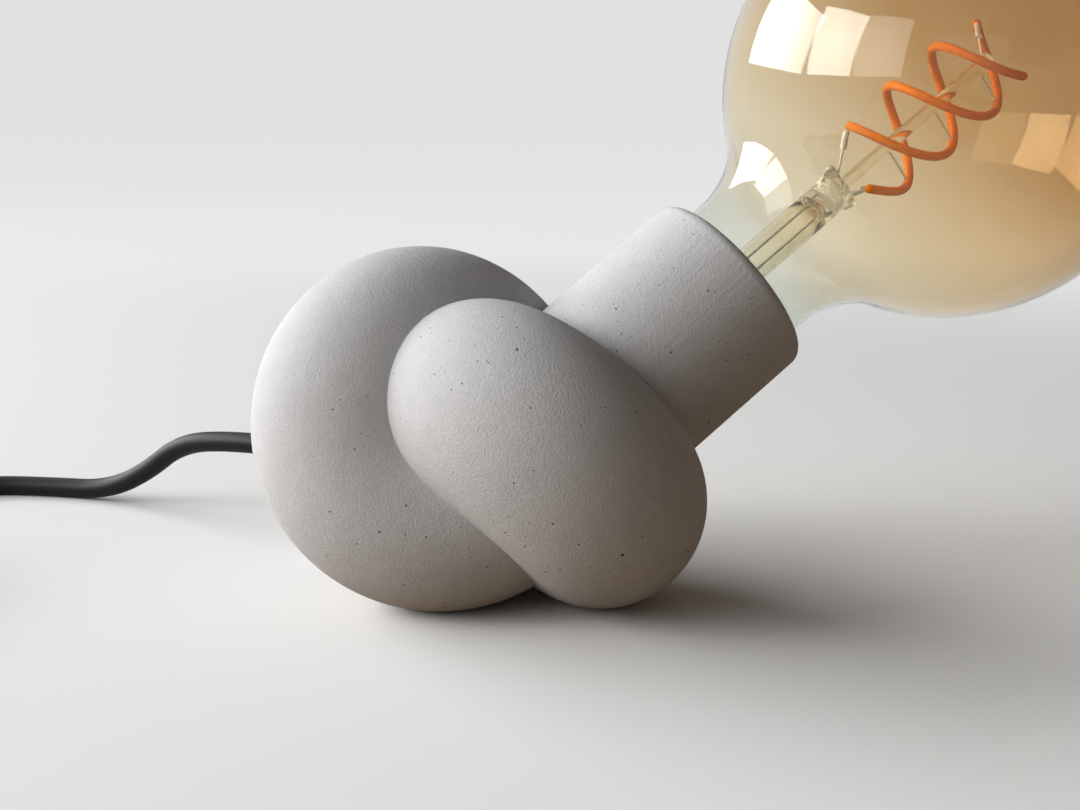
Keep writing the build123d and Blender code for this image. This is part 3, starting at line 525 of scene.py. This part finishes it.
class LAMP_OT_lead(bpy.types.Operator):
    """Lead from the body to the switch, and from the switch through the coil to the plug"""

    bl_idname = "lamp.lead"
    bl_label = "Lead"
    # In millimetres: the middle of the tail's end face and the way that the lead leaves it, the strain relief
    # and the straight run after it, and where the lead lies at the switch, the coil and the plug.
    tail_face = np.array((-42.1875, 58.8714, 26.6331))
    tail_heading = np.array((-0.632487, 0.774483, 0.011668))
    relief_len, straight = 15.0, 18.0
    switch_x, switch_up = -208.0, 8.5
    coil_y, coil_up = -15.0, 4.2
    plug_x, plug_up = -311.45, 6.85

    def execute(self, context):
        look = context.scene.lamp_lead
        r = look.cord_r / MM
        # Extruded PVC is a smooth satin black with a broad, weak sheen along the lead.
        sheath = grained("Extruded black PVC", look.black, 0.5, 1.2, relief_mm=0.004, shade=0.2, specular=0.2)
        relief_tip = self.tail_face + self.tail_heading * self.relief_len
        to_switch = [
            relief_tip,
            relief_tip + self.tail_heading * self.straight,
            (-82.0, 104.5, 26.6),
            (-95.8, 120.4, 23.4),
            (-107.3, 132.8, 11.0),
            (-119.3, 144.3, 3.8),
            (-135.3, 156.2, r),
            (-157.0, 166.8, r),
            (-187.0, 164.0, r),
            (-205.0, 142.0, r),
            (self.switch_x, 114.0, self.switch_up),
            (self.switch_x, 91.0, self.switch_up),
        ]
        first = self.cord("lead_to_switch", to_switch, look)
        finish(first, sheath, "black_pvc", "lamp", "cord_to_switch")
        turns = self.coil(look)
        to_plug = [
            (self.switch_x, 37.0, self.switch_up),
            (self.switch_x, 24.0, self.switch_up),
            (self.switch_x, 4.5, self.coil_up),
            *turns,
            (-303.45, 4.5, 11.5),
            (self.plug_x, 36.0, self.plug_up),
            (self.plug_x, 58.0, self.plug_up),
        ]
        second = self.cord("lead_to_plug", to_plug, look)
        finish(second, sheath, "black_pvc", "lamp", "cord_to_coil", "lead_coil", "cord_to_plug")
        dress(sheath, "inner_lead")
        return {"FINISHED"}

    def cord(self, name, points, look):
        """A round cord whose route's points are the control points of one smooth spline."""
        curve = bpy.data.curves.new(name, "CURVE")
        curve.dimensions = "3D"
        curve.bevel_depth = look.cord_r
        curve.bevel_resolution = 8
        curve.resolution_u = 10
        curve.use_fill_caps = True
        spline = curve.splines.new("NURBS")
        spline.points.add(len(points) - 1)
        spline.points.foreach_set("co", np.array([(*np.array(p) * MM, 1.0) for p in points]).ravel())
        spline.order_u = 3
        spline.use_endpoint_u = True
        made = bpy.data.objects.new(name, curve)
        bpy.context.scene.collection.objects.link(made)
        return made

    def coil(self, look):
        """Two layers of turns, clockwise: they spiral in, climb a layer in half a turn and spiral out."""
        gap, part_turn, points_per_turn = 0.8, 0.25, 16
        step = 2 * look.cord_r / MM + gap
        half = 2 * np.pi * (look.coil_turns + part_turn)
        angle = np.linspace(0, 2 * half, points_per_turn * (2 * look.coil_turns + 1))
        out_r = look.coil_in_r / MM + step * (look.coil_turns + part_turn)
        radius = look.coil_in_r / MM + step * np.abs(angle - half) / (2 * np.pi)
        climb = np.clip((angle - half) / np.pi + 0.5, 0, 1)
        height = self.coil_up + step * climb * climb * (3 - 2 * climb)
        centre = (self.switch_x - out_r, self.coil_y)
        return list(zip(centre[0] + radius * np.cos(angle), centre[1] - radius * np.sin(angle), height))


class LAMP_OT_body(bpy.types.Operator):
    """Knotted tube of concrete"""

    bl_idname = "lamp.body"
    bl_label = "Concrete body"
    # Faces that meet at more than this are left sharp, as where one bend of the tube runs into another.
    crease = math.radians(10.5)

    def execute(self, context):
        body = merged_copy("concrete_body", "knotted_body", self.crease)
        finish(body, cast_concrete(context.scene.lamp_body), "concrete", "lamp", "concrete_body")
        return {"FINISHED"}


class LAMP_OT_globe(bpy.types.Operator):
    """Glass envelope of the bulb"""

    bl_idname = "lamp.globe"
    bl_label = "Globe"
    # In millimetres: the round of the shoulder, and the glass in the cap, with its radius, top and end.
    shoulder_r = 9.0
    cap_r, cap_top, cap_end = 12.65, -9.45, -11.95

    def execute(self, context):
        look = context.scene.lamp_bulb
        outline = np.concatenate([self.profile(look, 0.0), self.profile(look, look.wall)[::-1]])
        start = mouth + neck_axis * bulb_up
        globe = grid_object("bulb_glass", turned_round(outline, start, neck_axis, across, 128))
        finish(globe, blown_glass(look), "amber_glass", "bulb", "bulb_globe")
        return {"FINISHED"}

    def profile(self, look, inset):
        """Ball, flare, straight neck and shoulder as arcs that meet smoothly, moved in by an inset."""
        flare_up = look.globe_up - look.neck_up
        flare_r = (look.neck_r ** 2 + flare_up ** 2 - look.globe_r ** 2) / (2 * (look.globe_r - look.neck_r))
        flare = (look.neck_r + flare_r, look.neck_up)
        lean = math.degrees(math.atan2(-flare_up, flare[0]))
        shoulder_r, shoulder_turn = self.shoulder_r * MM, -75
        shoulder = (look.neck_r - shoulder_r, 0.0)
        cap_r = self.cap_r * MM - inset
        ball = arc((0.0, look.globe_up), look.globe_r - inset, 90, lean, 72)
        ball[0, 0] = 0.0
        return np.concatenate([
            ball,
            arc(flare, flare_r + inset, 180 + lean, 180, 24)[1:],
            arc(shoulder, shoulder_r - inset, 0, shoulder_turn, 16),
            [(cap_r, self.cap_top * MM), (cap_r, self.cap_end * MM)],
        ])


class LAMP_OT_stem(bpy.types.Operator):
    """Glass stem with its flattened press, and the rod on it"""

    bl_idname = "lamp.stem"
    bl_label = "Stem"
    # In millimetres: the flare's foot and top, the radii of tube and foot, the press's half sizes, and how
    # far above the tube its first ring is.
    foot, flare_top = -11.95, -2.95
    tube_r, foot_r = 5.2, 11.5
    press_thick, press_wide, press_start = 2.1, 7.0, 0.7

    def execute(self, context):
        look = context.scene.lamp_bulb
        glass = drawn_glass(look)
        tube, tall, wall = look.stem_up / MM, look.press_up / MM, look.wall / MM
        height = np.concatenate([np.linspace(self.foot, self.flare_top, 12), np.linspace(0, tube, 8),
                                 np.linspace(tube + self.press_start, tall, 10)])
        hollow = height[height < tube - wall]
        outside = self.rings(height, self.tube_r, self.foot_r, tube, tall)
        inside = self.rings(hollow, self.tube_r - wall, self.foot_r - wall, tube, tall)
        top = np.zeros((1, outside.shape[1], 3)) + (0, 0, tall)
        low = np.zeros((1, outside.shape[1], 3)) + (0, 0, tube - wall)
        rings = np.concatenate([top, outside[::-1], inside, low])
        stem = grid_object("bulb_stem_glass", on_bulb(rings * MM))
        finish(stem, glass, "clear_glass", "bulb", "bulb_stem")
        dress(glass, "bulb_centre_rod")
        return {"FINISHED"}

    def rings(self, height, tube_r, foot_r, tube, tall):
        """Round rings that flare out to the foot, and are pressed flat across the last few millimetres."""
        angle = np.linspace(0, 2 * np.pi, 48, endpoint=False)
        flare = np.clip((self.flare_top - height) / (self.flare_top - self.foot), 0, 1) ** 2
        press = np.clip((height - tube) / (tall - tube), 0, 1)
        press = press * press * (3 - 2 * press)
        thick = tube_r + (foot_r - tube_r) * flare + (self.press_thick - tube_r) * press
        wide = tube_r + (foot_r - tube_r) * flare + (self.press_wide - tube_r) * press
        x = thick[:, None] * np.cos(angle)
        y = wide[:, None] * np.sin(angle)
        return np.stack([x, y, np.repeat(height[:, None], len(angle), axis=1)], axis=-1)


class LAMP_OT_filament(bpy.types.Operator):
    """Double spiral filament, its clips, wires and supports"""

    bl_idname = "lamp.filament"
    bl_label = "Filament"
    # In millimetres: the spiral's start, its rise in a turn and the radius that it eases in to. One strand
    # begins early by so many degrees, and both go on for so many turns.
    low, pitch, inner_r = 55.6, 35.6, 9.0
    early, turns = 80.0, 1.35
    lean, high_side = math.radians(31), math.radians(-25)

    def execute(self, context):
        look = context.scene.lamp_bulb
        strands = [self.strand(look, 0.0, self.early), self.strand(look, 180.0, 0.0)]
        filament = grid_object("filament_spiral", *strands)
        finish(filament, filament_coating(look), "filament_coating", "bulb", "led_filament")
        # Drawn nickel that was heated with the glass is pale and half dull, so its wires read as light lines.
        wire = grained("Drawn nickel wire", linear("D8D6D0"), 0.5, 0.8, metallic=0.25)
        dress(wire, "filament_end_clips", "lead_wires", "filament_supports")
        return {"FINISHED"}

    def strand(self, look, offset, early):
        """
        Rings of one strand. At t turns its angle is 270 degrees + offset + 360 t, and its height is low +
        pitch t + radius tan(lean) cos(angle - high side), so its turns lean. Before t = 0 the radius eases in
        to the inner one, and at both ends the thickness follows a half round.
        """
        turn = np.linspace(-early / 360, self.turns, 240)
        angle = np.radians(270 + offset + 360 * turn)
        ease = np.clip(1 + turn * 360 / max(early, 1), 0, 1)
        radius = self.inner_r + (look.helix_r / MM - self.inner_r) * ease * ease * (3 - 2 * ease)
        height = self.low + self.pitch * turn + radius * math.tan(self.lean) * np.cos(angle - self.high_side)
        path = np.stack([radius * np.cos(angle), radius * np.sin(angle), height], axis=1)
        along = np.concatenate([[0], np.cumsum(np.linalg.norm(np.diff(path, axis=0), axis=1))])
        thick = look.filament_r / MM
        end = np.clip(np.minimum(along, along[-1] - along) / thick, 0, 1)
        rings = tube_round(path, thick * np.sqrt(1 - (1 - end) ** 2), np.array((0, 0, 1.0)), 16)
        return on_bulb(rings * MM) + neck_axis * bulb_up


class LAMP_OT_cap(bpy.types.Operator):
    """Screw cap of the bulb and what is in it"""

    bl_idname = "lamp.cap"
    bl_label = "Cap"

    def execute(self, context):
        # Nickel plate is bright and a warm grey, and mirrors the light in narrow streaks.
        plate = grained("Nickel-plated brass", linear("C9C3B4"), 0.22, 0.5, metallic=1.0)
        dress(plate, "bulb_cap_shell", "plug_pins")
        # Opaque glass is black with a hard shine.
        dress(grained("Opaque black glass", linear("101012"), 0.15, 2.0), "bulb_cap_insulator")
        # Tin is silvery, with a soft shine.
        dress(grained("Tinned contact", linear("C4C4C0"), 0.35, 0.6, metallic=1.0), "bulb_centre_contact")
        # Solder mask is a green lacquer with an even half gloss.
        dress(grained("Solder mask", linear("1E5A34"), 0.35, 1.0), "bulb_driver_board")
        return {"FINISHED"}


class LAMP_OT_holder(bpy.types.Operator):
    """Lampholder in the neck and what fastens it"""

    bl_idname = "lamp.holder"
    bl_label = "Lampholder"

    def execute(self, context):
        # Phenolic is brown black, with the dull polish of its mould.
        dress(grained("Moulded phenolic", linear("1D1A18"), 0.4, 0.8), "holder_skirt", "holder_dome")
        # Glaze makes porcelain a creamy white with a smooth, wet shine.
        dress(grained("Glazed porcelain", linear("E6E2D8"), 0.18, 3.0), "holder_core")
        # Zinc plate is a cool grey metal with a blurred shine.
        zinc = grained("Zinc-plated steel", linear("B9BABB"), 0.32, 0.5, metallic=1.0)
        dress(zinc, "holder_grub_screw", "holder_nipple", "lock_nut", "lock_washer", "terminal_screws",
              "switch_screws")
        # Rolled brass is yellow, with fine lines the way it was rolled.
        brass = grained("Rolled brass", linear("C8A35A"), 0.3, 0.6, metallic=1.0, streak=(1, 1, 0.2))
        dress(brass, "holder_screw_shell", "holder_centre_contact", "holder_side_contact", "threaded_insert",
              "switch_contacts")
        # The insulation is brown plastic with a soft gloss.
        dress(grained("Wire insulation", linear("5B3A22"), 0.45, 0.8), "conductors")
        return {"FINISHED"}


class LAMP_OT_reliefs(bpy.types.Operator):
    """Rubber on the lead: strain reliefs and the coil's straps"""

    bl_idname = "lamp.reliefs"
    bl_label = "Reliefs and straps"

    def execute(self, context):
        # Moulded rubber is a dull black that mirrors little.
        rubber = grained("Moulded black rubber", linear("202021"), 0.6, 0.7, relief_mm=0.02)
        dress(rubber, "strain_relief", "plug_relief", "coil_ties")
        return {"FINISHED"}


class LAMP_OT_mouldings(bpy.types.Operator):
    """Mouldings of the switch and the plug"""

    bl_idname = "lamp.mouldings"
    bl_label = "Switch and plug"

    def execute(self, context):
        # The mould's spark texture makes black ABS matte and pebbled. It is drawn coarser than it really is.
        plastic = grained("Spark-textured black ABS", linear("1E1E1F"), 0.5, 0.45, relief_mm=0.02)
        dress(plastic, "switch_base", "switch_cover", "switch_rocker", "plug_body")
        return {"FINISHED"}


class LAMP_PT_pieces(bpy.types.Panel):
    """Lists the lamp's pieces in the sidebar"""

    bl_idname = "LAMP_PT_pieces"
    bl_label = "Knotted lamp"
    bl_space_type = "VIEW_3D"
    bl_region_type = "UI"
    bl_category = "Lamp"

    def draw(self, context):
        """A button for each operator, then the values of each group."""
        for operator in operators:
            self.layout.operator(operator.bl_idname)
        for group in groups:
            for name in groups[group].__annotations__:
                self.layout.prop(getattr(context.scene, group), name)


operators = [LAMP_OT_stage, LAMP_OT_lead, LAMP_OT_body, LAMP_OT_globe, LAMP_OT_stem, LAMP_OT_filament,
             LAMP_OT_cap, LAMP_OT_holder, LAMP_OT_reliefs, LAMP_OT_mouldings]
groups = {"lamp_stage": LampStage, "lamp_lead": LampLead, "lamp_body": LampBody, "lamp_bulb": LampBulb}


def register():
    """Makes the classes known to Blender, and gives each scene the groups of values."""
    for kind in [*groups.values(), *operators, LAMP_PT_pieces]:
        bpy.utils.register_class(kind)
    for name, kind in groups.items():
        setattr(bpy.types.Scene, name, PointerProperty(type=kind))


def unregister():
    """Takes back what register did, in reverse order."""
    for name in groups:
        delattr(bpy.types.Scene, name)
    for kind in reversed([*groups.values(), *operators, LAMP_PT_pieces]):
        bpy.utils.unregister_class(kind)


def main():
    """Builds the lamp piece by piece."""
    register()
    bpy.ops.lamp.stage()
    bpy.ops.lamp.lead()
    bpy.ops.lamp.body()
    bpy.ops.lamp.globe()
    bpy.ops.lamp.stem()
    bpy.ops.lamp.filament()
    bpy.ops.lamp.cap()
    bpy.ops.lamp.holder()
    bpy.ops.lamp.reliefs()
    bpy.ops.lamp.mouldings()


if __name__ == "__main__":
    main()
